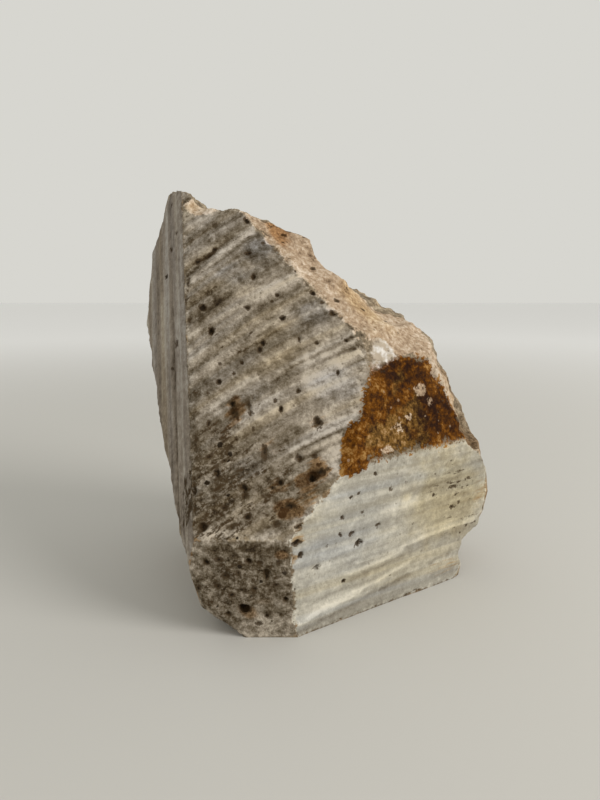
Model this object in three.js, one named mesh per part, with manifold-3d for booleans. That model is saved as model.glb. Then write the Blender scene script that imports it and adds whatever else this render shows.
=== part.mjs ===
// A raw soapstone carving block: one stone with three sawn faces, a flat sawn bed,
// an iron-stained natural face and rough broken faces everywhere else.
// Millimetres, +Z up. The block rests on z = 0 and is centred on x = y = 0.
// +Y is away from the viewer, so the large sawn face looks towards -Y.

import * as THREE from 'three';
import { mergeVertices } from 'three/addons/utils/BufferGeometryUtils.js';
import Module from 'manifold-3d';

// ---------------------------------------------------------------- driving dimensions

const BLANK_SIZE = 520;        // side of the square blank that the faces are cut from
const BLANK_HEIGHT = 330;      // height of that blank over the bed
const CUTTER_SIZE = 640;       // side of each cutter, larger than any face
const CUTTER_DEPTH = 420;      // how far a cutter reaches outwards
const CUTTER_RISE = 110;       // how far a cutter is shifted up its face

// Each face is a plane. bearing: the way it looks in plan, in degrees from +Y towards +X.
// lean: how far it looks up (+) or down (-), in degrees. reach: its distance from the
// layout point on the bed. finish: how its surface was made.
const FACES = {
  front: { bearing: 182.5, lean: 27.7, reach: 125.3, finish: 'bladeArcs' },
  right: { bearing: 146, lean: -5, reach: 76, finish: 'levelCuts' },
  left: { bearing: 244, lean: 8, reach: 114.2, finish: 'uprightCuts' },
  foot: { bearing: 182, lean: -8, reach: 92.6, finish: 'weathered' },
  rust: { bearing: 146.6, lean: 15.3, reach: 113.9, finish: 'weathered' },
  bruise: { bearing: 158, lean: 34, reach: 152.4, finish: 'weathered' },
  shoulder: { bearing: 141.3, lean: 45.8, reach: 180.2, finish: 'broken' },
  crest: { bearing: 60, lean: 49.8, reach: 212.5, finish: 'broken' },
  peak: { bearing: 70, lean: 66.9, reach: 248.7, finish: 'broken' },
  flank: { bearing: 118, lean: 24.6, reach: 158.6, finish: 'broken' },
  rightCorner: { bearing: 100, lean: 26.5, reach: 170.6, finish: 'broken' },
  rightEnd: { bearing: 80, lean: 1.6, reach: 148, finish: 'broken' },
  rightHeel: { bearing: 84, lean: -25.5, reach: 110.5, finish: 'broken' },
  upperLeftBack: { bearing: 330, lean: 46.7, reach: 289.2, finish: 'hackly' },
  leftBrow: { bearing: 300, lean: 1.6, reach: 167.1, finish: 'hackly' },
  leftUndercut: { bearing: 266, lean: -15.2, reach: 75, finish: 'hackly' },
  leftHip: { bearing: 262, lean: -16.8, reach: 68, finish: 'broken' },
  heelChip: { bearing: 245, lean: -48.7, reach: 49.2, finish: 'broken' },
  upperBack: { bearing: 30, lean: 42, reach: 207.5, finish: 'hackly' },
  back: { bearing: 4, lean: 7, reach: 117.6, finish: 'hackly' },
  rightBack: { bearing: 42, lean: 12, reach: 145.8, finish: 'hackly' },
  leftBack: { bearing: 318, lean: -12, reach: 108.7, finish: 'hackly' },
};

const BLADE_RADIUS = 430;      // radius of the saw blade that cut the front face
const BLADE_AXIS = 209;        // its axis, measured across the front face
const BLADE_SINK = 357;        // how far the axis lies below the arc that starts the row count
const RIDGE_PITCH = 13;        // spacing of the saw ridges
const RIDGE_HEIGHT = 1.3;      // height of a full ridge on the front face
const LEVEL_RIDGE_HEIGHT = 0.8;    // the same on the right face
const UPRIGHT_RIDGE_HEIGHT = 0.9;  // the same on the left face
const LOWEST_RIDGE = 0.4;      // height of the lowest ridge, as a part of a full one
const LEVEL_TURN = 6;          // rise of the ridges on the right face, in degrees
const UPRIGHT_TURN = -63;      // turn of the ridges on the left face, in degrees
const COLUMN_STEP = 32;        // spacing of points along a ridge

const HACKLY_STEP = 12;        // spacing of points on the rough back
const HACKLY_RELIEF = 17;      // height of its lumps and ledges
const BROKEN_STEP = 9.5;       // spacing of points on the smaller broken faces
const BROKEN_RELIEF = 9;       // the same for the smaller broken faces
const WEATHERED_STEP = 9;      // spacing of points on the natural weathered faces
const WEATHERED_RELIEF = 3.4;  // the same for the weathered faces
const SCATTER = 0.6;           // how far a point strays from its grid, as a part of the spacing
const SMALL_LUMP = 0.4;        // size of the small lumps, as a part of the large ones
const LEDGE_PITCH = 27;        // spacing of the ledges that the stone's layers break into
const LEDGE_WANDER = 55;       // size of the waves in those layers
const LEDGE_SLOPE = 0.8;       // part of a ledge that slopes out before it breaks off
const LAYER_AXIS = new THREE.Vector3(-0.5, 0.15, 0.85).normalize();

// Open pits where soft grains have fallen out: across the face, up the face, width, height
// and, where a pit lies slanting, its turn in degrees.
const PITS = {
  front: [
    [-68, 177, 3.2, 3.2], [-61, 159, 3.6, 6], [-24, 147, 3.2, 7], [-11, 169, 3.2, 3.2],
    [-38, 135, 3, 3], [-43, 127, 3, 3], [-53, 121, 3.2, 3.2], [-43, 102, 6, 12],
    [-29, 109, 3.4, 8], [-11, 101, 3.4, 5], [0, 115, 3, 3], [-36, 177, 3, 3.4],
    [2, 153, 3.4, 4.6], [-38, 222, 3.2, 3.2], [-33, 202, 3.4, 4], [-15, 187, 3, 3],
    [10, 189, 3.2, 3.2], [24, 173, 4.6, 3.2], [38, 163, 3.2, 3.2], [13, 150, 3, 3],
    [29, 128, 3.4, 5], [-65, 47, 4.6, 5], [-58, 24, 5, 5.4], [-50, 58, 3.2, 7],
    [-32, 47, 4, 6], [3, 69, 4.4, 3.4], [12, 57, 10, 9], [-11, 52, 7, 4],
    [-3, 36, 6, 4], [8, 25, 6, 3.4], [5, 15, 6, 3.4], [-68, 218, 19, 2.8, 33],
    [-38, 248, 4.4, 3.4], [14, 94, 6, 5],
  ],
  foot: [
    [-29, 71, 4, 4], [-18, 62, 3.4, 8], [-56, 69, 3.4, 3.4], [-6, 43, 4, 4.4],
    [-33, 35, 6, 7], [-44, 32, 4, 4], [-18, 30, 3, 3],
  ],
  right: [
    [4, 112, 3.4, 3], [84, 88, 9, 2.6], [-23, 86, 3.4, 3], [11, 73, 3.4, 3],
    [-23, 74, 3, 3.2], [-12, 72, 3.6, 3], [-5, 64, 5, 4], [-41, 54, 5, 5],
    [-17, 38, 3, 3], [87, 70, 5, 3.4], [-53, 66, 3.4, 4.4], [-57, 76, 6, 3.4],
  ],
  left: [
    [-84, 281, 3, 3.4], [-58, 257, 3.2, 4], [-69, 245, 3, 3],
  ],
};
const PIT_FLOOR = 0.3;         // how far a pit's middle lies below its face, as a part of its width
const PIT_SKEW = 0.35;         // the most that a pit strays from its turn, in radians

// Hollows left by lost spalls: a rough ball of this radius that cuts `depth` into the
// plane of a face at (u, v), stretched along the face's own u by `stretch`.
const SPALLS = [
  { face: 'shoulder', u: 58, v: 132, radius: 42, depth: 10, stretch: 1.2 },
  { face: 'rightHeel', u: -15, v: 81, radius: 17, depth: 13, stretch: 1.6 },
  { face: 'rightCorner', u: 23, v: 58, radius: 27, depth: 11, stretch: 1.5 },
  { face: 'crest', u: -7, v: 127, radius: 46, depth: 14, stretch: 1.1 },
  { face: 'crest', u: -34, v: 64, radius: 19, depth: 9, stretch: 1 },
  { face: 'peak', u: 42, v: 164, radius: 22, depth: 13, stretch: 1.2 },
  { face: 'front', u: -74, v: 262, radius: 12, depth: 5, stretch: 1.3 },
  { face: 'back', u: -104, v: 150, radius: 120, depth: 18, stretch: 1 },
  { face: 'back', u: 84, v: 118, radius: 90, depth: 13, stretch: 0.8 },
  { face: 'back', u: -40, v: 4, radius: 80, depth: 10, stretch: 1.4 },
  { face: 'crest', u: -20, v: 30, radius: 90, depth: 9, stretch: 1.3 },
  { face: 'leftUndercut', u: -108, v: 96, radius: 60, depth: 9, stretch: 1 },
];
const SPALL_STEP = 15;         // spacing of points on a spall's skin
const SPALL_ROUGHNESS = 13;    // how far those points stray from the ball
const SPALL_LUMP = 22;         // size of the lumps on that skin
const SHALLOW_SPALL = 10;      // a spall shallower than this is smoother in proportion

// ---------------------------------------------------------------- seeded noise

// A fixed number from 0 to 1 for each point of a whole-number lattice. The constants are
// those of a common integer hash.
function lattice(i, j, k) {
  let h = Math.imul(i, 374761393) ^ Math.imul(j, 668265263) ^ Math.imul(k, 1442695041);
  h = Math.imul(h ^ (h >>> 13), 1274126177);
  h = Math.imul(h ^ (h >>> 15), 1103515245);
  return ((h ^ (h >>> 16)) >>> 0) / 4294967296;
}

// Smooth noise from 0 to 1 at a point, with lumps about `size` mm across.
function smoothNoise(point, size) {
  const cell = [point.x / size, point.y / size, point.z / size];
  const low = cell.map(Math.floor);
  const blend = cell.map((value, axis) => THREE.MathUtils.smoothstep(value - low[axis], 0, 1));
  let total = 0;
  for (let corner = 0; corner < 8; corner += 1) {
    const step = [corner & 1, (corner >> 1) & 1, (corner >> 2) & 1];
    const weight = step.reduce((w, s, axis) => w * (s ? blend[axis] : 1 - blend[axis]), 1);
    total += weight * lattice(low[0] + step[0], low[1] + step[1], low[2] + step[2]);
  }
  return total;
}

// A repeatable run of random numbers, each between low and high.
function randomRun(seed) {
  let count = 0;
  return (low, high) => {
    count += 1;
    return low + (high - low) * lattice(seed, count, 17);
  };
}

// ---------------------------------------------------------------- surface finishes

// Each finish gives its grid spacing and turn in the face, and a function that moves one
// grid point (u along a row, v across the rows) and says how far it stands off the plane.

// Saw ridges: rows of points that are high and low in turn, with uneven heights.
function ridges(height, turn, seed, bend) {
  return {
    columnStep: COLUMN_STEP,
    rowStep: RIDGE_PITCH / 2,
    turn,
    shape({ u, v, row }) {
      const uneven = THREE.MathUtils.lerp(LOWEST_RIDGE, 1, lattice(seed, row, 5));
      return { u, v: v + bend(u), w: row % 2 === 0 ? 0 : -height * uneven };
    },
  };
}

// Height from 0 to 1 of the ledges: each layer slopes out slowly and breaks off short.
function ledgeHeight(place) {
  const layer = place.dot(LAYER_AXIS) / LEDGE_PITCH + 1.3 * smoothNoise(place, LEDGE_WANDER);
  const along = layer - Math.floor(layer);
  return along < LEDGE_SLOPE ? along / LEDGE_SLOPE : (1 - along) / (1 - LEDGE_SLOPE);
}

// Rough stone: lumps of two sizes, crossed by the ledges of its layers.
function rough(step, relief, lump, seed) {
  const jitter = SCATTER * step;
  return {
    columnStep: step,
    rowStep: step,
    turn: 0,
    shape({ u, v, row, column, place }) {
      const large = smoothNoise(place, lump);
      const small = smoothNoise(place, SMALL_LUMP * lump);
      const height = 0.5 * large + 0.25 * small + 0.25 * ledgeHeight(place);
      return {
        u: u + jitter * (lattice(row, column, seed) - 0.5),
        v: v + jitter * (lattice(column, row, seed + 1) - 0.5),
        w: relief * (height - 0.5),
      };
    },
  };
}

// The blade sinks straight down the front face, so its marks are equal arcs one below another.
function bladeArc(u) {
  const fromAxis = Math.min(Math.abs(u - BLADE_AXIS), BLADE_RADIUS);
  return Math.sqrt(BLADE_RADIUS ** 2 - fromAxis ** 2) - BLADE_SINK;
}

const straight = () => 0;

const FINISHES = {
  bladeArcs: ridges(RIDGE_HEIGHT, 0, 3, bladeArc),
  levelCuts: ridges(LEVEL_RIDGE_HEIGHT, LEVEL_TURN, 11, straight),
  uprightCuts: ridges(UPRIGHT_RIDGE_HEIGHT, UPRIGHT_TURN, 23, straight),
  weathered: rough(WEATHERED_STEP, WEATHERED_RELIEF, 20, 31),
  broken: rough(BROKEN_STEP, BROKEN_RELIEF, 24, 47),
  hackly: rough(HACKLY_STEP, HACKLY_RELIEF, 42, 59),
};

// ---------------------------------------------------------------- solids

const wasm = await Module();
wasm.setup();

// Turns a closed three.js geometry into a solid that can be cut.
function solidOf(geometry) {
  const bare = geometry.clone();
  bare.deleteAttribute('normal');
  bare.deleteAttribute('uv');
  const merged = mergeVertices(bare, 1e-4);
  return new wasm.Manifold(new wasm.Mesh({
    numProp: 3,
    vertProperties: new Float32Array(merged.attributes.position.array),
    triVerts: new Uint32Array(merged.index.array),
  }));
}

// A face's own frame: x to the right and y up the face as seen from outside, z outwards.
function faceFrame({ bearing, lean, reach }) {
  const turn = THREE.MathUtils.degToRad(bearing);
  const tilt = THREE.MathUtils.degToRad(lean);
  const outward = new THREE.Vector3(
    Math.sin(turn) * Math.cos(tilt),
    Math.cos(turn) * Math.cos(tilt),
    Math.sin(tilt),
  );
  const across = new THREE.Vector3(0, 0, 1).cross(outward).normalize();
  const up = outward.clone().cross(across);
  const middle = outward.clone().multiplyScalar(reach);
  return new THREE.Matrix4().makeBasis(across, up, outward).setPosition(middle);
}

// The slab that cuts a face: its inner side carries the finish, and it reaches outwards.
function faceCutter(face) {
  const { columnStep, rowStep, turn, shape } = FINISHES[face.finish];
  const columns = Math.round(CUTTER_SIZE / columnStep);
  const rows = Math.round(CUTTER_SIZE / rowStep);
  const slab = new THREE.BoxGeometry(CUTTER_SIZE, CUTTER_SIZE, CUTTER_DEPTH, columns, rows, 1);
  const rise = new THREE.Matrix4().makeTranslation(0, CUTTER_RISE, 0);
  const inPlane = new THREE.Matrix4().makeRotationZ(THREE.MathUtils.degToRad(turn));
  const onFace = faceFrame(face).multiply(rise).multiply(inPlane);
  const points = slab.attributes.position;
  const place = new THREE.Vector3();
  for (let index = 0; index < points.count; index += 1) {
    const u = points.getX(index);
    const v = points.getY(index);
    if (points.getZ(index) > 0) {
      points.setZ(index, CUTTER_DEPTH);
      continue;
    }
    const column = Math.round((u / CUTTER_SIZE + 0.5) * columns);
    const row = Math.round((v / CUTTER_SIZE + 0.5) * rows);
    place.set(u, v, 0).applyMatrix4(onFace);
    const moved = shape({ u, v, row, column, place });
    points.setXYZ(index, moved.u, moved.v, moved.w);
  }
  slab.applyMatrix4(onFace);
  return solidOf(slab);
}

// A rough ball whose skin cuts `depth` below a face at (u, v).
function spallCutter({ face, u, v, radius, depth, stretch }) {
  const frame = faceFrame(FACES[face]);
  const centre = new THREE.Vector3(u, v, radius - depth);
  const ball = new THREE.IcosahedronGeometry(radius, Math.round(radius / SPALL_STEP));
  ball.scale(stretch, 1, 1);
  ball.translate(centre.x, centre.y, centre.z);
  ball.applyMatrix4(frame);
  centre.applyMatrix4(frame);
  const roughness = SPALL_ROUGHNESS * Math.min(1, depth / SHALLOW_SPALL);
  const points = ball.attributes.position;
  const point = new THREE.Vector3();
  for (let index = 0; index < points.count; index += 1) {
    point.fromBufferAttribute(points, index);
    const stray = roughness * (smoothNoise(point, SPALL_LUMP) - 0.5);
    point.addScaledVector(point.clone().sub(centre).normalize(), stray);
    points.setXYZ(index, point.x, point.y, point.z);
  }
  return solidOf(ball);
}

// An open pit: a twenty-sided stone of the pit's width and height, sunk in the face.
function pitCutter(frame, [u, v, width, height, slant = 0], random) {
  const pit = new THREE.IcosahedronGeometry(0.5, 0);
  pit.rotateX(random(0, Math.PI));
  pit.scale(width, height, Math.min(width, height));
  pit.rotateZ(THREE.MathUtils.degToRad(slant) + random(-PIT_SKEW, PIT_SKEW));
  pit.translate(u, v, -PIT_FLOOR * Math.min(width, height) / 2);
  pit.applyMatrix4(frame);
  return solidOf(pit);
}

function pitCutters() {
  const random = randomRun(7);
  return Object.entries(PITS).flatMap(([face, pits]) => {
    const frame = faceFrame(FACES[face]);
    return pits.map((pit) => pitCutter(frame, pit, random));
  });
}

function blockSolid() {
  const blank = new THREE.BoxGeometry(BLANK_SIZE, BLANK_SIZE, BLANK_HEIGHT);
  blank.translate(0, 0, BLANK_HEIGHT / 2);
  const cutters = [
    ...Object.values(FACES).map(faceCutter),
    ...SPALLS.map(spallCutter),
    ...pitCutters(),
  ];
  return cutters.reduce((stone, cutter) => stone.subtract(cutter), solidOf(blank));
}

// ---------------------------------------------------------------- the block

// Gives a solid back as a three.js geometry, standing on z = 0 and centred over the origin.
function geometryOf(solid) {
  const mesh = solid.getMesh();
  const geometry = new THREE.BufferGeometry();
  geometry.setAttribute('position', new THREE.BufferAttribute(mesh.vertProperties, 3));
  geometry.setIndex(new THREE.BufferAttribute(mesh.triVerts, 1));
  geometry.computeBoundingBox();
  const { min, max } = geometry.boundingBox;
  geometry.translate(-(min.x + max.x) / 2, -(min.y + max.y) / 2, -min.z);
  geometry.computeVertexNormals();
  return geometry;
}

const soapstone = new THREE.MeshStandardMaterial({ color: 0x9a9080, roughness: 0.85, metalness: 0 });
const block = new THREE.Mesh(geometryOf(blockSolid()), soapstone);
block.name = 'soapstone_block';

const part = new THREE.Group();
part.add(block);

export default part;
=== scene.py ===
"""A raw soapstone carving block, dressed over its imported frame.

The block's solid is copied, skinned with small even faces, roughened where the stone is
broken, scored where it was sawn and pitted where soft grains have fallen out. The marks are
kept as attributes on the mesh, and one procedural material reads them.
"""

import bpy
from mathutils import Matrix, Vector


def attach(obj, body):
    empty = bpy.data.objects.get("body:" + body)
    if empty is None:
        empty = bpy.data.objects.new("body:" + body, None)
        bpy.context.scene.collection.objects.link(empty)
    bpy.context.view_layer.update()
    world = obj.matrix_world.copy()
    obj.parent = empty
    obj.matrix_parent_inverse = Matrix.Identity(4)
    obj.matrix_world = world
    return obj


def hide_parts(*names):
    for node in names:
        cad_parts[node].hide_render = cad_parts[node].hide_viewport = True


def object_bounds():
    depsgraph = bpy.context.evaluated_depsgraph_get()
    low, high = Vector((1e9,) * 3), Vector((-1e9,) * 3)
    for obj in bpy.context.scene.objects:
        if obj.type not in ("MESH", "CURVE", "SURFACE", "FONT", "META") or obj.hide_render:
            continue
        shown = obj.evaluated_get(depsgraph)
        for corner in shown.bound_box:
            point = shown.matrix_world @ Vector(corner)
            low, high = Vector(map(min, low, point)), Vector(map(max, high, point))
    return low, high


bl_info = {
    "name": "Soapstone carving block",
    "version": (1, 0, 0),
    "blender": (4, 5, 0),
    "location": "3D View > Sidebar > Soapstone",
    "description": "Models and finishes one raw soapstone carving block on a pale studio floor",
    "category": "Object",
}

from math import cos, radians, sin

import bpy
import numpy as np
from bpy.props import FloatProperty, FloatVectorProperty, IntProperty, PointerProperty
from mathutils import Vector

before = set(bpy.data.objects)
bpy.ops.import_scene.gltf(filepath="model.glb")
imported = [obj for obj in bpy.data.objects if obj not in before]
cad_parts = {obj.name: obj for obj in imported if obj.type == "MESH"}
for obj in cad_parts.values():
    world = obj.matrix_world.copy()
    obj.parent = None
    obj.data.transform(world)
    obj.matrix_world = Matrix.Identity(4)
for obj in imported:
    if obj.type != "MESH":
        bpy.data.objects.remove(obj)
CAD_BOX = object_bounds()
NODE = "soapstone_block"
MM = 0.001

# ------------------------------------------------------------------ the block's layout

# Lengths in these tables are in millimetres. They are measured from the layout point on the
# bed, which lies at this place in the frame.
LAYOUT_POINT = (-6.28, -8.57, 0.0)

# Each face is a plane. Bearing: the way it looks in plan, in degrees from +Y towards +X.
# Lean: how far it looks up (+) or down (-). Reach: its distance from the layout point.
FACES = {
    "front": (182.5, 27.7, 125.3),
    "right": (146, -5, 76),
    "left": (244, 8, 114.2),
    "foot": (182, -8, 92.6),
    "rust": (146.6, 15.3, 113.9),
    "bruise": (158, 34, 152.4),
    "shoulder": (141.3, 45.8, 180.2),
    "crest": (60, 49.8, 212.5),
    "peak": (70, 66.9, 248.7),
    "flank": (118, 24.6, 158.6),
    "right_corner": (100, 26.5, 170.6),
    "right_end": (80, 1.6, 148),
    "right_heel": (84, -25.5, 110.5),
    "heel_chip": (245, -48.7, 49.2),
    "upper_left_back": (330, 46.7, 289.2),
    "left_brow": (300, 1.6, 167.1),
    "left_undercut": (266, -15.2, 75),
    "left_hip": (262, -16.8, 68),
    "upper_back": (30, 42, 207.5),
    "back": (4, 7, 117.6),
    "right_back": (42, 12, 145.8),
    "left_back": (318, -12, 108.7),
    "bed": (0, -90, 0),
}
SAWN = ("front", "right", "left")
WEATHERED = ("foot", "rust", "bruise")
SEEN_CLOSE = ("front", "right", "foot", "rust", "bruise", "shoulder", "flank", "right_corner")
# The other sides have larger triangles, which make a hollow look deeper than it is. The shade painted
# into their hollows is cut down to this share.
COARSE_HOLLOW_SHADE = 0.45

# The blade that cut the front face left arcs of this radius. Its axis lies this far across
# the face, and this far below the arc that starts the count.
BLADE_RADIUS = 430
BLADE_AXIS = 209
BLADE_SINK = 357
LEFT_CUT_TURN = 27  # the cuts on the left face lean this far from upright, in degrees

# Open pits: across the face, up the face, width, height, how dark the floor is (earth, with painted
# shade in the middle), and the turn in degrees of a pit that lies slanting.
PITS = {
    "front": [
        (-68, 177, 4.3, 3.9, 1), (-61, 159, 4.2, 6.9, 1), (-24, 150, 3.6, 4.6, 1),
        (-26, 145, 3.8, 5, 1), (-11, 169, 3.4, 3.9, 0.95), (-38, 135, 3, 3, 0.8),
        (-43, 127, 2.4, 2.4, 0.6), (-53, 121, 3, 3.6, 1), (-43, 106, 5.6, 4.4, 1.1),
        (-32, 104, 3.4, 12, 0.5, 15), (-10, 102, 2.9, 5, 0.9), (1, 115, 2.9, 3, 0.7),
        (-36, 177, 3.6, 3.1, 0.65), (1, 153, 3.2, 6, 0.5), (-38, 221, 4.4, 3.3, 0.85),
        (-33, 202, 3.6, 4.2, 0.95), (-15, 187, 3.6, 3.2, 0.65), (10, 189, 3.4, 3.4, 1),
        (25, 173, 5.8, 4.6, 0.95, 20), (38, 163, 3.2, 3.2, 0.6), (13, 150, 3.6, 3, 0.7),
        (28, 128, 3, 5.2, 1), (-66, 46, 4.6, 4.8, 1.1), (-57, 24, 4.8, 5.2, 1.1),
        (-50, 58, 3.4, 8, 0.9), (-32, 49, 5.2, 3.9, 0.9), (-32, 44, 2.4, 5.4, 0.7),
        (3, 69, 5.2, 4.7, 0.75), (17, 60, 5, 4.2, 1.05), (11, 56, 4.6, 5.4, 1),
        (-9, 53, 4, 4.4, 0.95), (-14, 49, 5, 3, 0.9), (-2, 38, 6.4, 3.8, 0.95),
        (7, 25, 8.4, 3.7, 1.05), (5, 15, 5.6, 3.4, 1),
        (-68, 218, 19, 2.8, 0.85, 33), (-40, 249, 4, 4.6, 0.9),
    ],
    "foot": [
        (-29, 71, 4, 4, 0.9), (-18, 62, 3.4, 8, 1), (-56, 69, 3.4, 3.4, 0.9),
        (-6, 43, 4, 4.4, 1), (-33, 35, 6, 7, 0.9), (-44, 32, 4, 4, 0.9), (-18, 30, 3, 3, 0.8),
    ],
    "right": [
        (4, 112, 3.6, 3, 0.7), (85, 88, 12, 2.4, 0.7), (-22, 86, 3.5, 3, 0.7),
        (10, 73, 4.6, 3.4, 0.55), (-23, 74, 3.4, 3.6, 0.75), (-13, 72, 4.2, 3.4, 0.75),
        (-6, 64, 6, 4.2, 0.55), (-41, 55, 6, 5, 0.6), (-17, 38, 3.6, 3, 0.95),
        (85, 71, 5.6, 3.2, 0.45), (-54, 67, 3.4, 4.4, 0.8), (-57, 76, 6, 3.4, 1),
    ],
    "left": [(-84, 281, 6, 3, 0.6), (-58, 257, 9, 2.6, 0.75), (-70, 245, 7, 3.4, 0.8)],
}

# Shallow spots of earth, in the same order as the pits.
SPOTS = {
    "front": [
        (14, 93, 7.6, 7.6, 0.6), (-62, 224, 3.2, 3.4, 1.05), (-74, 214, 4, 4.4, 1.05),
        (-2, 207, 3, 4.2, 0.9), (-19, 182, 2.3, 2.4, 0.6), (-77, 167, 3, 4, 0.8),
        (-80, 196, 2.6, 9, 0.6), (-81, 182, 2.4, 7, 0.6), (-53, 134, 2.4, 2.2, 0.6),
        (-41, 98, 5.6, 6, 0.75),
        (-14, 108, 2.8, 2.8, 0.6), (-66, 81, 2.6, 6, 0.75), (-39, 81, 2.7, 3.4, 0.95),
        (-47, 79, 2.2, 2.2, 0.8), (-20, 73, 4, 9.4, 0.7), (13, 70, 3.3, 3.3, 0.75),
        (-56, 69, 5.6, 2.6, 0.65, 35), (-29, 31, 4, 4.6, 0.75), (-39, 24, 3.4, 3.8, 0.65),
        (-18, 32, 6, 2.6, 0.7, -15), (-63, 35, 2.8, 2.8, 0.8), (-50, 48, 6, 2.2, 0.6, 35),
        (-36, 60, 6, 2.4, 0.6, 30), (-10, 26, 5, 4, 0.65), (-58, 92, 3, 6, 0.6),
        (-72, 66, 3, 5, 0.7), (-46, 66, 4, 2.4, 0.6, 30), (-24, 58, 3, 4, 0.55),
        (-62, 56, 3.4, 3, 0.6), (-44, 36, 4, 3, 0.5), (-20, 44, 3, 3, 0.6),
        (22, 62, 3, 2.6, 0.55), (-28, 88, 2.6, 3, 0.55), (-60, 112, 2.4, 4, 0.5),
        (-27, 230, 2.6, 4, 0.6), (34, 152, 3, 2.6, 0.8), (39, 146, 3.4, 3, 0.55),
        (-20, 228, 3, 4, 0.7), (6, 196, 2.6, 3, 0.6), (17, 181, 3, 2.6, 0.6),
    ],
    "right": [
        (20, 98, 4.6, 3.6, 0.4), (-10, 101, 2.6, 2.2, 0.55), (-16, 99, 2.6, 2.2, 0.55),
        (-6, 86, 5, 2.4, 0.45), (63, 85, 3.4, 2.8, 0.6), (92, 74, 3.6, 2.4, 0.6),
        (-59, 43, 4.6, 3.4, 0.95), (34, 100, 3, 2, 0.35), (44, 66, 3, 2, 0.35),
        (100, 92, 5, 2, 0.4), (26, 30, 4, 1.8, 0.35), (-34, 68, 2.4, 2, 0.4),
    ],
    "left": [(-76, 224, 7, 3, 0.7), (-25, 174, 8, 5, 0.55), (-29, 155, 9, 3, 0.6)],
    "shoulder": [
        (5, 163, 4, 3, 0.7), (8, 130, 4, 3, 0.7), (31, 123, 4, 3, 0.8), (15, 196, 5, 3, 0.8),
        (26, 142, 4, 3, 0.6), (18, 176, 3, 3, 0.6), (-2, 112, 4, 3, 0.6), (48, 112, 4, 3, 0.6),
    ],
    "foot": [
        (-44, 60, 5, 4, 0.7), (-36, 62, 3, 5, 0.7), (-50, 52, 4, 4, 0.6), (-12, 54, 5, 3, 0.7),
        (-26, 50, 4, 5, 0.6), (-62, 50, 3, 5, 0.7), (-40, 46, 5, 3, 0.6), (-22, 70, 5, 3, 0.7),
        (-10, 70, 3, 4, 0.7), (-48, 72, 5, 3, 0.7), (-24, 24, 4, 3, 0.5),
    ],
}

# Saw ridges and grooves that stand out, and two lines on the foot: where one end is, across the face
# and over the cuts, where the other end is, the width, and the tone. A tone below 0 is a dark groove.
SCORES = {
    "front": [
        (-90, 272, -64, 271, 9, -1), (-64, 268, -46, 263, 7, -0.7), (-88, 256, -66, 254, 7, 0.6),
        (-62, 262, -44, 258, 5, 0.4), (-80, 247, -64, 248, 2.4, -1),
        (-86, 233, -28, 246.5, 8, 1.3), (-78, 243, -54, 248, 3, -1),
        (-60, 234, -34, 239, 4, -0.7), (-86, 216, -60, 213, 7, -0.5), (-84, 204, -52, 202, 9, -0.6),
        (-86, 190, -56, 188, 5, 0.8), (-56, 186, -38, 185, 4, 0.5), (-50, 192, 4, 187, 13, 0.6),
        (-60, 178, -30, 178, 3, -0.35), (-84, 172, -66, 168, 6, 0.7), (-20, 160, 10, 158, 4, -0.3),
        (-84, 156, -50, 150, 4, 0.35), (-70, 121, -28, 124, 5, 0.55), (0, 118, 46, 120, 2.6, 0.45),
        (-4, 114.5, 40, 117, 2.2, -0.5), (-2, 111, 46, 114, 2.6, 0.5), (4, 107.5, 46, 110, 2, -0.4),
        (-30, 100, 44, 103, 8, 0.4), (-34, 93, -4, 90, 6, 0.6), (-14, 81, 34, 83, 2.2, -0.4),
        (0, 76, 30, 78, 2, 0.35), (0, 57, 40, 58, 3, 1), (2, 53.5, 38, 54, 1.8, -0.8),
        (-2, 49.5, 38, 50, 3.2, 0.9), (0, 46, 34, 46, 1.8, -0.5), (-66, 38.5, -28, 38, 4.5, 1),
        (-26, 36, 4, 38, 4, 0.45), (-62, 36, -30, 33, 3.5, 1), (-60, 66, -20, 60, 3.4, -0.6),
        (-62, 47, -30, 46, 4, -0.6), (-70, 86, -44, 84, 3, -0.4), (-66, 76, -34, 72, 3, 0.35),
    ],
    "right": [
        (-52, 17, -6, 26, 4.5, 2), (-8, 26, 40, 34, 3.2, 1.2), (-12, 42, 34, 47, 3.4, 1),
        (-6, 49, 30, 49, 2.6, 0.8), (28, 49, 60, 53, 3, 1.2), (56, 53, 112, 55, 4, 1.4),
        (-14, 36.5, 60, 45, 3.4, -1), (-52, 9, 44, 24, 4, -0.9), (20, 18, 84, 32, 4, -0.7),
        (-58, 24, -16, 33, 2.6, -0.4), (-40, 90, 20, 96, 4, 0.3), (20, 110, 72, 104, 5, 0.45),
        (44, 62, 104, 66, 5, -0.4), (52, 74, 100, 80, 2.4, -0.5), (46, 90, 108, 98, 2.4, -0.5),
        (60, 100, 112, 104, 3, -0.45), (20, 83, 44, 86, 9, 0.55), (-46, 46, -6, 52, 2.2, -0.3),
        (-30, 60, 24, 66, 2.2, 0.3),
    ],
    "left": [
        (120, 40, 300, 40, 5, 0.7), (40, 50, 300, 50, 5, -0.6), (40, 66, 300, 66, 7, 0.5),
        (40, 80, 300, 80, 6, -0.6), (40, 94, 300, 94, 8, 0.5), (40, 108, 300, 108, 5, -0.5),
    ],
    "foot": [
        # The foot: a pale line just above the bed, which is a painted highlight along its lower edge,
        # and a dark line just below its edge with the front face.
        (-36, 16, -4, 15, 2, 0.9), (-58, 79, -8, 79, 5, -0.7),
    ],
}

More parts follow.
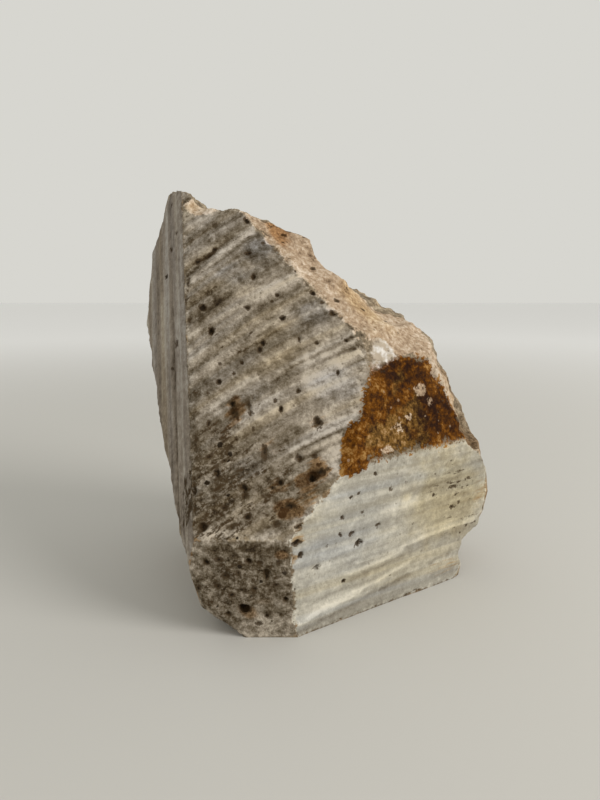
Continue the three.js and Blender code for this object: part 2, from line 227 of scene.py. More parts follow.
# Soft patches of each kind on each face: the middle across and up, half the width, half the
# height, and the strength.
PATCHES = {
    "soil": {
        "front": [
            (-50, 44, 30, 52, 0.85), (-10, 46, 24, 28, 0.65), (-70, 110, 9, 34, 0.35),
            (-66, 186, 18, 12, 0.4), (-52, 234, 26, 10, 0.15), (-48, 150, 22, 16, 0.2),
            (-40, 147, 12, 6, 0.6), (-50, 108, 24, 10, 0.5),
        ],
        "foot": [(-34, 58, 36, 24, 0.75), (-50, 34, 18, 14, 0.7)],
        "left": [(43, 85, 16, 34, 0.8), (-3, 102, 6, 34, 0.5)],
        "shoulder": [(24, 160, 10, 26, 0.25), (22, 136, 10, 30, 0.2)],
        "flank": [(70, 80, 34, 40, 0.7)],
        "right": [(84, 92, 34, 22, 0.4), (100, 60, 24, 24, 0.3)],
        "right_corner": [(20, 62, 40, 60, 0.6)],
    },
    "iron": {
        "front": [
            (-42, 101, 8, 12, 1.1), (-48, 88, 10, 8, 0.4), (15, 60, 9, 9, 1.3), (8, 52, 8, 10, 1.1),
            (9, 44, 9, 9, 0.75), (-2, 36, 11, 8, 1.1), (8, 22, 9, 9, 1.1), (-11, 50, 10, 6, 0.8),
            (-18, 76, 8, 8, 0.55), (14, 92, 7, 7, 0.5), (-84, 150, 3, 26, 0.4),
        ],
        "foot": [
            (-20, 41, 12, 4, 0.55), (-37, 14, 3, 7, 0.5), (-60, 62, 3, 10, 0.35),
            (-8, 76, 6, 4, 0.9), (-30, 32, 9, 8, 0.8),
        ],
        "right": [
            (-57, 78, 7, 6, 1), (-60, 66, 5, 5, 0.9), (114, 76, 9, 15, 0.55),
            (88, 20, 22, 12, 0.45), (-56, 92, 6, 8, 0.7),
        ],
        "shoulder": [(-6, 202, 12, 20, 0.95)],
        "right_corner": [(20, 62, 40, 60, 0.7)],
        "right_end": [(10, 90, 40, 30, 0.4)],
    },
    "drab": {
        "rust": [(30, 104, 34, 24, 1), (34, 136, 12, 18, 0.6)],
    },
    "dark": {
        "rust": [
            (88, 96, 14, 14, 0.8), (72, 102, 28, 36, 0.85), (34, 146, 24, 10, 0.9),
            (10, 84, 44, 6, 0.7),
        ],
        "shoulder": [(12, 190, 20, 26, 0.45)],
        # The first patch on the right face is painted shade along its bottom, where it meets the bed.
        "right": [(20, 8, 90, 10, 0.6), (96, 86, 40, 34, 0.12)],
        "front": [
            (-27, 219, 9, 9, 0.9), (-34, 130, 14, 7, 0.6), (-70, 80, 9, 28, 0.5),
            (-4, 84, 14, 7, 0.6),
        ],
    },
    "slate": {
        "front": [
            (-76, 252, 14, 9, 0.3), (-28, 226, 13, 13, 1), (-50, 205, 12, 8, 0.45),
            (12, 172, 16, 9, 0.6), (26, 120, 16, 14, 0.5), (-30, 62, 10, 7, 0.4),
        ],
        "right": [(-22, 72, 36, 30, 0.35)],
    },
    "ochre": {
        "shoulder": [(34, 126, 18, 30, 1)],
        "right": [(82, 80, 48, 40, 1), (40, 36, 60, 12, 0.4)],
        "front": [(-14, 150, 16, 30, 0.35), (-52, 190, 24, 8, 0.3)],
        "flank": [(70, 80, 34, 40, 1)],
    },
    "cream": {
        "shoulder": [(-8, 142, 9, 30, 0.7), (44, 112, 14, 18, 0.5)],
        "front": [
            (-78, 162, 8, 14, 0.7), (-24, 190, 28, 11, 0.75), (-12, 172, 22, 10, 0.45),
            (-58, 130, 22, 10, 0.45), (24, 130, 22, 32, 1.5), (22, 98, 24, 22, 1.2),
            (28, 70, 16, 14, 1.1), (8, 98, 24, 9, 0.8), (23, 80, 12, 8, 0.8),
            (29, 154, 10, 10, 1), (-70, 244, 14, 30, 0.45), (-30, 18, 32, 5, 1.2),
            (-20, 94, 20, 12, 0.5),
        ],
        "right": [(-36, 46, 20, 12, 0.5), (28, 84, 14, 10, 0.5), (-40, 20, 26, 18, 0.35)],
        "foot": [(-18, 22, 18, 12, 0.9), (-66, 66, 3, 14, 0.7), (-46, 30, 7, 6, 0.4)],
    },
    "lip": {
        "rust": [(68, 126, 14, 40, 1.1)],
        "flank": [(28, 104, 16, 28, 1.1)],
        "front": [(42, 108, 12, 40, 0.8)],
    },
    "chip": {
        "rust": [
            (-22, 78, 16, 10, 0.35), (54, 132, 6, 5, 0.85), (38, 113, 4, 3, 0.7),
            (60, 122, 4, 4, 0.6), (27, 107, 8, 5, 0.6), (15, 94, 7, 3, 0.8),
        ],
        "front": [(-74, 262, 14, 8, 2)],
        "peak": [(42, 164, 16, 12, 1.5)],
    },
}
# The kinds that change how pale the stone is. The material reads all the others.
TONE_KINDS = ("dark", "cream")

# Faces that the material tells apart, each with the faces of the layout that it takes in.
REGIONS = {
    "left": ("left",),
    "front": ("front",),
    "foot": ("foot",),
    "right": ("right",),
    "shoulder": ("shoulder", "flank"),
    "rust": ("rust",),
    "bruise": ("bruise",),
}
# How pale each face is, from 0 to 1, and how coarse its grain is.
FACE_TONES = {"front": 0.56, "left": 0.52, "right": 0.52, "foot": 0.53}
FACE_GRAINS = {"front": 1, "left": 0.7, "right": 0.6, "foot": 1.35}
# The length and width of the streaks on each sawn face.
STREAKS = {"front": (50, 4.4), "right": (95, 3.6), "left": (130, 9)}
# How far apart in the noise the sawn faces' streaks lie, so that no two faces share them.
STREAKS_APART = 40
# Where a finish spreads past the edge of its face (+) or stops short of it (-): the finish,
# the face, the middle as (across, up), half the width and height, and how far.
BULGES = [
    ("rust", "front", (36, 80), (14, 22), 7),
    ("rust", "right", (-15, 120), (18, 12), 6),
    ("shoulder", "rust", (64, 137), (12, 20), 9),
    ("bruise", "rust", (27, 160), (16, 9), 4),
    ("bruise", "front", (40, 142), (18, 26), -8),
    ("front", "bruise", (14, 130), (14, 26), 13),
    ("bruise", "shoulder", (24, 88), (12, 8), 4),
]

# ------------------------------------------------------------------ sizes and colours

# What each colour of the stone is for, and its red, green and blue.
STONE_COLOURS = {
    "front_groove": ("Earth in the grooves of the weathered faces", (0.018, 0.01, 0.004)),
    "front_shade": ("Dirty stone of those faces", (0.072, 0.051, 0.028)),
    "front_stone": ("Grey-tan stone of those faces", (0.168, 0.136, 0.096)),
    "front_dust": ("Dusty stone of those faces", (0.305, 0.26, 0.204)),
    "front_cream": ("Pale crumbs on their ridges", (0.51, 0.445, 0.36)),
    "left_groove": ("Grooves of the narrow sawn face", (0.052, 0.035, 0.019)),
    "left_stone": ("Grey stone of that face", (0.27, 0.226, 0.18)),
    "left_dust": ("Dust on that face", (0.537, 0.493, 0.423)),
    "right_groove": ("Grooves of the fresh sawn face", (0.15, 0.128, 0.097)),
    "right_stone": ("Pale grey-green stone of that face", (0.332, 0.31, 0.26)),
    "right_dust": ("Cream ridges on that face", (0.64, 0.6, 0.505)),
    "rust_groove": ("Darkest brown of the iron crust", (0.016, 0.004, 0.0005)),
    "rust_shade": ("Dark brown iron crust", (0.052, 0.017, 0.001)),
    "rust_crust": ("Orange-brown iron crust", (0.138, 0.047, 0.002)),
    "rust_dust": ("Tan crumbs on the iron crust", (0.305, 0.168, 0.052)),
    "drab_shade": ("Dark brown where the crust is thin", (0.055, 0.025, 0.004)),
    "drab_crust": ("Yellowish brown where the crust is thin", (0.175, 0.09, 0.02)),
    "drab_dust": ("Pinkish crumbs where the crust is thin", (0.35, 0.215, 0.098)),
    "shoulder_groove": ("Brown hollows of the shoulder", (0.092, 0.054, 0.028)),
    "shoulder_stone": ("Pinkish tan of the shoulder", (0.372, 0.27, 0.179)),
    "shoulder_dust": ("Creamy crumbs on the shoulder", (0.69, 0.59, 0.475)),
    "broken_groove": ("Earth in the hollows of broken stone", (0.026, 0.015, 0.007)),
    "broken_stone": ("Grey-tan broken stone", (0.223, 0.175, 0.117)),
    "broken_dust": ("Pale edges of broken stone", (0.56, 0.47, 0.34)),
    "bruise": ("White stone dust on the struck corner", (0.66, 0.63, 0.59)),
    "bruise_stone": ("Crushed stone round it", (0.4, 0.335, 0.26)),
    "earth": ("Brown earth in hollows and clods", (0.05, 0.03, 0.013)),
    "iron": ("Dark brown stain that the iron leaves", (0.052, 0.025, 0.008)),
    "stain": ("Tint of the orange halo round it", (0.86, 0.64, 0.42)),
    "slate": ("Tint of the bluish veins", (0.9, 0.98, 1.16)),
    "ochre": ("Tint of the yellowish veins", (1.03, 0.96, 0.78)),
    # Painted shade: this near-black goes in the middle of pits and spots and on the grit flecks, over
    # the earth there.
    "pit": ("Shadowed earth at the bottom of a pit", (0.018, 0.011, 0.005)),
}


def length(name, description, millimetres):
    """A length that the user can change."""
    return FloatProperty(
        name=name, description=description, default=millimetres * MM, unit="LENGTH"
    )


class BlockSizes(bpy.types.PropertyGroup):
    """How finely the block is skinned and how rough its faces are."""

    skin: length("Skin", "Side of the small even faces", 1.25)
    lumps: length("Lumps", "Relief of the lumps on broken stone", 3.2)
    grains: length("Grains", "Relief of the grains on broken stone", 1.1)
    crust: length("Crust", "Relief of the weathered crust", 1.2)
    scores: length("Scores", "Depth of the fine saw scores", 0.45)
    nibble: length("Nibble", "How far the sharp edges are nibbled", 1.4)
    triangles: IntProperty(
        name="Triangles", description="Most triangles on the finished block", default=192000
    )


def colour(name, description, shade):
    """A colour that the user can change."""
    return FloatVectorProperty(
        name=name.replace("_", " ").capitalize(), description=description, default=shade,
        subtype="COLOR", size=3, min=0, max=2,
    )


class BlockColours(bpy.types.PropertyGroup):
    """The colours of the stone, each finish from its grooves to its dust."""

    __annotations__ = {name: colour(name, *row) for name, row in STONE_COLOURS.items()}


class StageSettings(bpy.types.PropertyGroup):
    """The floor, the light and the camera."""

    floor: colour("floor", "Pale studio floor round the block", (0.56, 0.55, 0.52))
    far_floor: colour("far_floor", "The floor far away, as pale as the backdrop", (0.93, 0.93, 0.93))
    world: colour("world", "Pale backdrop that lights from all around", (0.68, 0.672, 0.63))
    main_power: FloatProperty(
        name="Main light", description="Power of the main lamp", default=46, unit="POWER"
    )
    lens: FloatProperty(
        name="Lens", description="Focal length of the camera", default=27, unit="CAMERA"
    )


# ------------------------------------------------------------------ geometry helpers


def outward(bearing, lean):
    """The direction that a face looks in."""
    turn, tilt = radians(bearing), radians(lean)
    return np.array([sin(turn) * cos(tilt), cos(turn) * cos(tilt), sin(tilt)])


def on_face(name, places):
    """Where places lie on a face: across it, up it, and how far below its plane."""
    bearing, lean, reach = FACES[name]
    normal = outward(bearing, lean)
    across = np.cross([0, 0, 1], normal)
    across /= np.linalg.norm(across)
    up = np.cross(normal, across)
    return places @ across, places @ up, reach - places @ normal


def saw_place(name, across, up):
    """The height over the cuts: constant along each score that the saw left."""
    if name == "front":
        from_axis = np.minimum(np.abs(across - BLADE_AXIS), BLADE_RADIUS)
        return up - np.sqrt(BLADE_RADIUS**2 - from_axis**2) + BLADE_SINK
    if name == "left":
        turn = radians(LEFT_CUT_TURN)
        return across * cos(turn) + up * sin(turn)
    return up


def lattice(cells, seed):
    """A fixed number from 0 to 1 for each cell of a whole-number lattice."""
    mixed = cells[:, 0] * 374761393 + cells[:, 1] * 668265263 + cells[:, 2] * 1442695041
    mixed = (mixed + seed * 974634777) & 0xFFFFFFFF
    mixed = ((mixed ^ (mixed >> 13)) * 1274126177) & 0xFFFFFFFF
    mixed = ((mixed ^ (mixed >> 15)) * 1103515245) & 0xFFFFFFFF
    return (mixed ^ (mixed >> 16)) / 2**32


def smooth_noise(places, size, seed, octaves=1):
    """Smooth noise from 0 to 1, with lumps of about this size, halved for each octave."""
    total = np.zeros(len(places))
    weight = 0
    for octave in range(octaves):
        scaled = places * (2**octave / size) + 17.3 * octave
        low = np.floor(scaled).astype(np.int64)
        blend = scaled - low
        blend = blend * blend * (3 - 2 * blend)
        layer = np.zeros(len(places))
        for corner in range(8):
            step = np.array([corner & 1, corner >> 1 & 1, corner >> 2 & 1])
            share = np.where(step, blend, 1 - blend).prod(axis=1)
            layer += share * lattice(low + step, seed + octave)
        total += layer / 2**octave
        weight += 1 / 2**octave
    return total / weight


def smooth_step(values, low, high):
    """0 below low, 1 above high, and a smooth rise between them."""
    part = np.clip((values - low) / (high - low), 0, 1)
    return part * part * (3 - 2 * part)


def read_places(piece):
    """The vertices' places, in millimetres from the layout point."""
    places = np.empty(len(piece.data.vertices) * 3)
    piece.data.vertices.foreach_get("co", places)
    return places.reshape(-1, 3) / MM - LAYOUT_POINT


def write_places(piece, places):
    """Moves the vertices, kept inside the frame's box and above the bed."""
    moved = (places + LAYOUT_POINT) * MM
    moved = np.clip(moved, CAD_BOX[0], CAD_BOX[1])
    piece.data.vertices.foreach_set("co", moved.ravel())
    piece.data.update()


def read_normals(piece):
    """The vertices' normals."""
    normals = np.empty(len(piece.data.vertices) * 3)
    piece.data.vertex_normals.foreach_get("vector", normals)
    return normals.reshape(-1, 3)


class Survey:
    """What each vertex belongs to: its nearest face, and how near the next face is."""

    def __init__(self, piece):
        self.places = read_places(piece)
        self.names = list(FACES)
        self.depths = np.array([on_face(name, self.places)[2] for name in FACES])
        order = np.argsort(self.depths, axis=0)
        self.nearest = order[0]
        sides = np.take_along_axis(self.depths, order[:2], axis=0)
        self.to_edge = sides[1] - sides[0]

    def on(self, *names):
        """True where a vertex belongs to one of these faces."""
        return np.isin(self.nearest, [self.names.index(name) for name in names])

    def share(self, *names):
        """1 on these faces, 0 off them."""
        return self.on(*names).astype(float)

    def inside(self, *names):
        """How far inside these faces a vertex lies (+) or outside them (-), in millimetres."""
        mine = [self.names.index(name) for name in names]
        others = [index for index in range(len(self.names)) if index not in mine]
        return self.depths[others].min(axis=0) - self.depths[mine].min(axis=0)


# ------------------------------------------------------------------ marks on the stone

# A pit or patch shows in full inside the first of these radii and is gone past the second.
PIT_RIM = (0.5, 1.2)
PATCH_RIM = (0.4, 1.35)
# How ragged that rim is, in radii, and how many radii out a pit's darkness fades to nothing.
PIT_RAGGED = 1.1
PATCH_RAGGED = 0.9
PIT_FADE = 1.45
# A score fades past its end over this many millimetres. Its middle wanders by this share of
# its width, and no groove or ridge is stronger than the last number.
SCORE_TAPER = 4
SCORE_WANDER = 0.5
STRONGEST_SCORE = 1.2
# How much each mark brightens (+) or darkens (-) the stone.
TONES = {"scores": 0.27, "soil": -0.13, "cream": 0.22, "dark": -0.3}
# A bulge of a finish fades out between these depths below the face's plane.
BULGE_DEPTHS = (8, 16)


def pit_marks(survey, table):
    """How deep in a pit each vertex is, in millimetres, and how dark the pit is there."""
    depth = np.zeros(len(survey.places))
    dark = np.full(len(survey.places), -1.0)
    small = smooth_noise(survey.places, 2.8, seed=5, octaves=2)
    large = smooth_noise(survey.places, 8, seed=6, octaves=2)
    wobble = small + 0.9 * large - 0.95  # about zero
    for face, pits in table.items():
        across, up, _ = on_face(face, survey.places)
        here = survey.on(face)
        for u, v, width, height, darkness, *slant in pits:
            turn = radians(slant[0]) if slant else 0
            along = (across - u) * cos(turn) + (up - v) * sin(turn)
            over = (up - v) * cos(turn) - (across - u) * sin(turn)
            away = np.hypot(along / (width / 2), over / (height / 2)) + PIT_RAGGED * wobble
            inside = here * (1 - smooth_step(away, *PIT_RIM))
            depth = np.maximum(depth, inside * min(width, height) / 2)
            dark = np.maximum(dark, np.where(here, darkness * (PIT_FADE - away), -1))
    return depth, dark


def streak_place(name, across, up):
    """A place along and over the saw's streaks, in streak lengths and widths."""
    length, width = STREAKS[name]
    over = saw_place(name, across, up)
    along = up if name == "left" else across
    return along / length, over / width


def score_marks(survey):
    """The saw's marks at each vertex: below 0 in a dark groove, above 0 on a pale ridge."""
    tone = np.zeros(len(survey.places))
    for face in SAWN:
        across, up, _ = on_face(face, survey.places)
        along, over = streak_place(face, across, up)
        line = np.column_stack([along, over, np.full_like(over, 0.5)])
        waves = smooth_noise(line, 1, seed=20 + SAWN.index(face), octaves=3) - 0.5
        tone += survey.share(face) * 0.6 * waves
    waver = smooth_noise(survey.places, 14, seed=33) - 0.5
    uneven = 0.45 + 1.1 * smooth_noise(survey.places, 5, seed=31, octaves=2)
    for face, scores in SCORES.items():
        across, up, _ = on_face(face, survey.places)
        over = saw_place(face, across, up)
        along = up if face == "left" else across
        for start, start_over, end, end_over, width, strength in scores:
            part = np.clip((along - start) / (end - start), 0, 1)
            middle = start_over + (end_over - start_over) * part + SCORE_WANDER * width * waver
            past_end = np.abs(along - start - (end - start) * part) / SCORE_TAPER
            away = np.hypot((over - middle) / (width / 2), past_end)
            tone += survey.share(face) * strength * uneven * np.exp(-(away**2))
    return np.clip(tone, -STRONGEST_SCORE, STRONGEST_SCORE)


def patch_marks(survey, kind):
    """How strongly a kind of colour patch shows at each vertex, from 0 up."""
    strength = np.zeros(len(survey.places))
    wobble = smooth_noise(survey.places, 12, seed=41, octaves=3) - 0.5
    for face, patches in PATCHES[kind].items():
        across, up, _ = on_face(face, survey.places)
        for u, v, half_width, half_height, amount in patches:
            away = np.hypot((across - u) / half_width, (up - v) / half_height)
            inside = 1 - smooth_step(away + PATCH_RAGGED * wobble, *PATCH_RIM)
            strength = np.maximum(strength, survey.share(face) * inside * amount)
    return strength


def tone_marks(survey, patches, scores):
    """How pale the stone is at each vertex, from 0, earth, to 1, dust."""
    tone = np.full(len(survey.places), 0.5)
    grain = np.ones(len(survey.places))
    for face, pale in FACE_TONES.items():
        tone[survey.on(face)] = pale
        grain[survey.on(face)] = FACE_GRAINS[face]
    tone += (
        TONES["scores"] * scores + TONES["soil"] * patches["soil"]
        + TONES["cream"] * patches["cream"]
    )
    grain += 0.3 * patches["soil"]
    tone[region_marks(survey, "rust") > -1] = 0.5
    return tone + TONES["dark"] * patches["dark"], grain


def region_marks(survey, region):
    """How far inside a finish each vertex lies (+) or outside it (-), in millimetres."""
    inside = survey.inside(*REGIONS[region])
    for name, face, middle, half, amount in BULGES:
        if name != region:
            continue
        across, up, depth = on_face(face, survey.places)
        away = np.hypot((across - middle[0]) / half[0], (up - middle[1]) / half[1])
        inside += amount * (1 - smooth_step(away, 0, 1)) * (1 - smooth_step(depth, *BULGE_DEPTHS))
    return inside


def hollow_marks(piece, rounds=4):
    """How far each vertex lies below its neighbours (+) or above them (-), in millimetres."""
    places = read_places(piece)
    edges = np.empty(len(piece.data.edges) * 2, dtype=np.int64)
    piece.data.edges.foreach_get("vertices", edges)
    first, second = edges.reshape(-1, 2).T
    count = np.bincount(edges, minlength=len(places))
    spread = places.copy()
    for _ in range(rounds):
        total = np.column_stack(
            [
                np.bincount(first, spread[second, axis], len(places))
                + np.bincount(second, spread[first, axis], len(places))
                for axis in range(3)
            ]
        )
        spread = total / count[:, None]
    return ((spread - places) * read_normals(piece)).sum(axis=1)


def store(piece, name, values):
    """Keeps a number or a place for each vertex as an attribute that the material reads."""
    kind, part = ("FLOAT", "value") if values.ndim == 1 else ("FLOAT_VECTOR", "vector")
    attribute = piece.data.attributes.new(name, kind, "POINT")
    attribute.data.foreach_set(part, values.astype(np.float32).ravel())


# ------------------------------------------------------------------ modelling steps

# How deep a pit and a spot are, as shares of half their smaller width.
PIT_SINK = 0.6
SPOT_SINK = 0.35
NIBBLE_GAIN = 1.8  # makes up for the squared noise, which is mostly well below 1
HALF_SEEN = 0.6  # how readily faces go from the sides that are seen at a slant
FRESH_EVEN = 0.65  # how much smoother the fresh shoulder is than old broken stone
SOIL_CRUST = 0.8  # how much of the crust's relief the soil brings to the sawn faces


def select_only(piece):
    """Makes a piece the only one selected, and the active one."""
    bpy.ops.object.select_all(action="DESELECT")
    piece.select_set(True)
    bpy.context.view_layer.objects.active = piece


def copied_node(name):
    """A copy of the block's solid with its loose triangles merged."""
    piece = bpy.data.objects.new(name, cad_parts[NODE].data.copy())
    bpy.context.scene.collection.objects.link(piece)
    piece.data.name = name
    piece.data.materials.clear()
    select_only(piece)
    bpy.ops.object.mode_set(mode="EDIT")
    bpy.ops.mesh.select_all(action="SELECT")
    bpy.ops.mesh.remove_doubles(threshold=0.01 * MM)
    bpy.ops.object.mode_set(mode="OBJECT")
    return piece


def apply_modifier(piece, kind, **settings):
    """Adds a modifier, sets it and applies it."""
    modifier = piece.modifiers.new(kind.title(), kind)
    for setting, value in settings.items():
        setattr(modifier, setting, value)
    select_only(piece)
    bpy.ops.object.modifier_apply(modifier=modifier.name)


def weigh(piece, name, weights):
    """Makes a vertex group with these weights, to the nearest tenth."""
    group = piece.vertex_groups.new(name=name)
    tenths = np.round(weights * 10).astype(int)
    for tenth in range(1, 11):
        members = np.flatnonzero(tenths == tenth)
        if len(members):
            group.add(members.tolist(), tenth / 10, "REPLACE")
    return group.name


def relief(piece, name, kind, size, strength, group, middle=0.5, **settings):
    """Roughens the weighted part of a piece with one procedural texture."""
    texture = bpy.data.textures.new(name, kind)
    texture.noise_scale = size
    for setting, value in settings.items():
        setattr(texture, setting, value)
    apply_modifier(
        piece, "DISPLACE", texture=texture, texture_coords="LOCAL", strength=strength,
        mid_level=middle, vertex_group=group,
    )


def roughen(piece, sizes):
    """Lumps, grains and crust where the stone is broken or weathered."""
    survey = Survey(piece)
    inland = smooth_step(survey.to_edge, 0, 5)
    sawn = survey.share(*SAWN, "bed")
    broken = (1 - sawn) * (1 - survey.share(*WEATHERED))
    fresh = 1 - FRESH_EVEN * survey.share(*REGIONS["shoulder"])
    rough = weigh(piece, "broken", broken * fresh * (0.35 + 0.65 * inland))
    eroded = np.maximum(survey.share(*WEATHERED), SOIL_CRUST * patch_marks(survey, "soil"))
    crust = weigh(piece, "weathered", eroded * (0.3 + 0.7 * inland))
    apply_modifier(piece, "SMOOTH", factor=0.5, iterations=6, vertex_group=rough)
    relief(piece, "lumps", "CLOUDS", 14 * MM, sizes.lumps, rough, noise_depth=3)
    ridged = {"musgrave_type": "RIDGED_MULTIFRACTAL"}
    relief(piece, "ledges", "MUSGRAVE", 9 * MM, sizes.lumps * 0.28, rough, **ridged)
    relief(piece, "grains", "VORONOI", 3.4 * MM, sizes.grains, rough)
    relief(piece, "crust", "CLOUDS", 5 * MM, sizes.crust, crust, noise_depth=3)
    relief(piece, "crust grains", "VORONOI", 2.6 * MM, sizes.crust * 0.5, crust)


def carve(piece, sizes):
    """Moves the vertices for the saw scores, the pits and the nibbled edges."""
    survey = Survey(piece)
    normals = read_normals(piece)
    pits, _ = pit_marks(survey, PITS)
    spots, _ = pit_marks(survey, SPOTS)
    tone = score_marks(survey)
    sawn = survey.share(*SAWN, "foot")
    near_edge = 1 - smooth_step(survey.to_edge, 0.3, 5)
    bite = smooth_noise(survey.places, 5.5, seed=61, octaves=3) ** 2
    move = sizes.scores / MM * tone * sawn * smooth_step(survey.to_edge, 0, 1.5)
    move -= PIT_SINK * pits + SPOT_SINK * spots
    move -= sizes.nibble / MM * near_edge * bite * NIBBLE_GAIN
    off_bed = smooth_step(survey.places[:, 2], 0.1, 2)
    write_places(piece, survey.places + normals * (move * off_bed)[:, None])


def thin(piece, sizes):
    """Takes away the faces that the hidden sides can spare."""
    survey = Survey(piece)
    close = survey.on(*SEEN_CLOSE)
    hidden = np.where(close, 0, 1.0)
    hidden[survey.on("left", "crest", "peak")] = HALF_SEEN
    group = weigh(piece, "hidden", hidden)
    triangles = sum(len(polygon.vertices) - 2 for polygon in piece.data.polygons)
    apply_modifier(
        piece, "DECIMATE", ratio=min(1, sizes.triangles / triangles), vertex_group=group,
        vertex_group_factor=2.0,
    )


def mark(piece):
    """Stores what the material reads."""
    survey = Survey(piece)
    _, pits = pit_marks(survey, PITS)
    _, spots = pit_marks(survey, SPOTS)
    store(piece, "pit", np.maximum(pits, spots))
    patches = {kind: patch_marks(survey, kind) for kind in PATCHES}
    for kind, strength in patches.items():
        if kind not in TONE_KINDS:
            store(piece, kind, strength)
    tone, grain = tone_marks(survey, patches, score_marks(survey))
    store(piece, "tone", tone)
    store(piece, "grain", grain)
    for name in REGIONS:
        store(piece, name, region_marks(survey, name))
    store(piece, "edge", 1 - smooth_step(survey.to_edge, 0, 5))
    seen = survey.on(*SEEN_CLOSE, "left")
    # Painted shade: the material darkens the stone in these hollows, and paints light on the bumps of
    # broken stone.
    store(piece, "hollow", hollow_marks(piece) * np.where(seen, 1, COARSE_HOLLOW_SHADE))
    streaks = np.zeros((len(survey.places), 3))
    for index, face in enumerate(SAWN):
        across, up, _ = on_face(face, survey.places)
        along, over = streak_place(face, across, up)
        here = survey.on(face)
        layer = np.full_like(over, (index + 0.5) * STREAKS_APART)
        streaks[here] = np.column_stack([along, over, layer])[here]
    store(piece, "streaks", streaks)


# ------------------------------------------------------------------ material


class Nodes:
    """Short ways to make and link a material's nodes."""

    def __init__(self, tree):
        self.tree = tree

    def add(self, kind, *, settings=None, **inputs):
        """Adds a node, sets it, and links or sets its inputs."""
        node = self.tree.nodes.new(kind)
        for setting, value in (settings or {}).items():
            setattr(node, setting, value)
        for name, value in inputs.items():
            self.feed(node.inputs[name.replace("_", " ")], value)
        return node

    def feed(self, socket, value):
        """Links another node's output to a socket, or sets the socket's own value."""
        if isinstance(value, bpy.types.NodeSocket):
            self.tree.links.new(value, socket)
        elif socket.type == "RGBA":
            socket.default_value = (*value, 1)
        else:
            socket.default_value = value

    def read(self, name, output="Fac"):
        """Reads one attribute of the mesh."""
        node = self.add("ShaderNodeAttribute", settings={"attribute_name": name})
        return node.outputs[output]

    def math(self, operation, first, second):
        """Works out one number from two."""
        node = self.add("ShaderNodeMath", settings={"operation": operation})
        self.feed(node.inputs[0], first)
        self.feed(node.inputs[1], second)
        return node.outputs[0]

    def plus(self, first, *others):
        """Adds numbers up."""
        for other in others:
            first = self.math("ADD", first, other)
        return first

    def minus(self, first, second):
        """Takes one number from another."""
        return self.math("SUBTRACT", first, second)

    def times(self, first, second):
        """Multiplies two numbers."""
        return self.math("MULTIPLY", first, second)

    def fit(self, value, low, high, start=0.0, end=1.0):
        """Turns the range from low to high smoothly into the range from start to end."""
        node = self.add(
            "ShaderNodeMapRange", settings={"interpolation_type": "SMOOTHSTEP"},
            Value=value, From_Min=low, From_Max=high, To_Min=start, To_Max=end,
        )
        return node.outputs["Result"]

    def noise(self, place, scale, detail=3.0, roughness=0.55):
        """Smooth noise from 0 to 1. The scale is how many lumps lie along one unit of place."""
        node = self.add(
            "ShaderNodeTexNoise", Vector=place, Scale=scale, Detail=detail, Roughness=roughness
        )
        return node.outputs["Fac"]

    def flecks(self, place, scale, share, size):
        """Scattered ragged flecks: how many of the cells have one, and its part of the cell."""
        drift = self.add("ShaderNodeTexNoise", Vector=place, Scale=scale * 3, Detail=2.0)
        shift = self.add("ShaderNodeVectorMath", settings={"operation": "SCALE"}, Scale=0.35 / scale)
        self.feed(shift.inputs[0], drift.outputs["Color"])
        moved = self.add("ShaderNodeVectorMath", settings={"operation": "ADD"})
        self.feed(moved.inputs[0], place)
        self.feed(moved.inputs[1], shift.outputs[0])
        cell = self.add("ShaderNodeTexVoronoi", Vector=moved.outputs[0], Scale=scale)
        chance = self.add("ShaderNodeSeparateColor", Color=cell.outputs["Color"])
        radius = self.fit(chance.outputs[0], 1 - share, 1.0, 0.0, size)
        return self.fit(self.minus(radius, cell.outputs["Distance"]), 0.0, 0.05)

    def stretched(self, place, by):
        """A place whose axes are scaled one by one."""
        node = self.add("ShaderNodeMapping", Vector=place, Scale=by)
        return node.outputs["Vector"]

    def mix(self, share, below, above, blend="MIX"):
        """Lays one colour over another."""
        node = self.add("ShaderNodeMix", settings={"data_type": "RGBA", "blend_type": blend})
        self.feed(node.inputs[0], share)
        self.feed(node.inputs[6], below)
        self.feed(node.inputs[7], above)
        return node.outputs[2]

    def ramp(self, tone, *shades):
        """Runs through these colours, from the first at 0 to the last at 1."""
        node = self.add("ShaderNodeValToRGB", Fac=tone)
        stops = node.color_ramp.elements
        while len(stops) < len(shades):
            stops.new(0.5)
        for index, (stop, shade) in enumerate(zip(stops, shades)):
            stop.position = index / (len(shades) - 1)
            stop.color = (*shade, 1)
        return node.outputs["Color"]

    def bump(self, height, distance, strength, **below):
        """Bumps of this height, in metres, over the normals of any bumps below them."""
        node = self.add("ShaderNodeBump", Height=height, Distance=distance, Strength=strength, **below)
        return node.outputs["Normal"]

    def surface(self, **inputs):
        """Ends the material in a surface with these inputs."""
        shader = self.add("ShaderNodeBsdfPrincipled", **inputs)
        self.add("ShaderNodeOutputMaterial", Surface=shader.outputs["BSDF"])


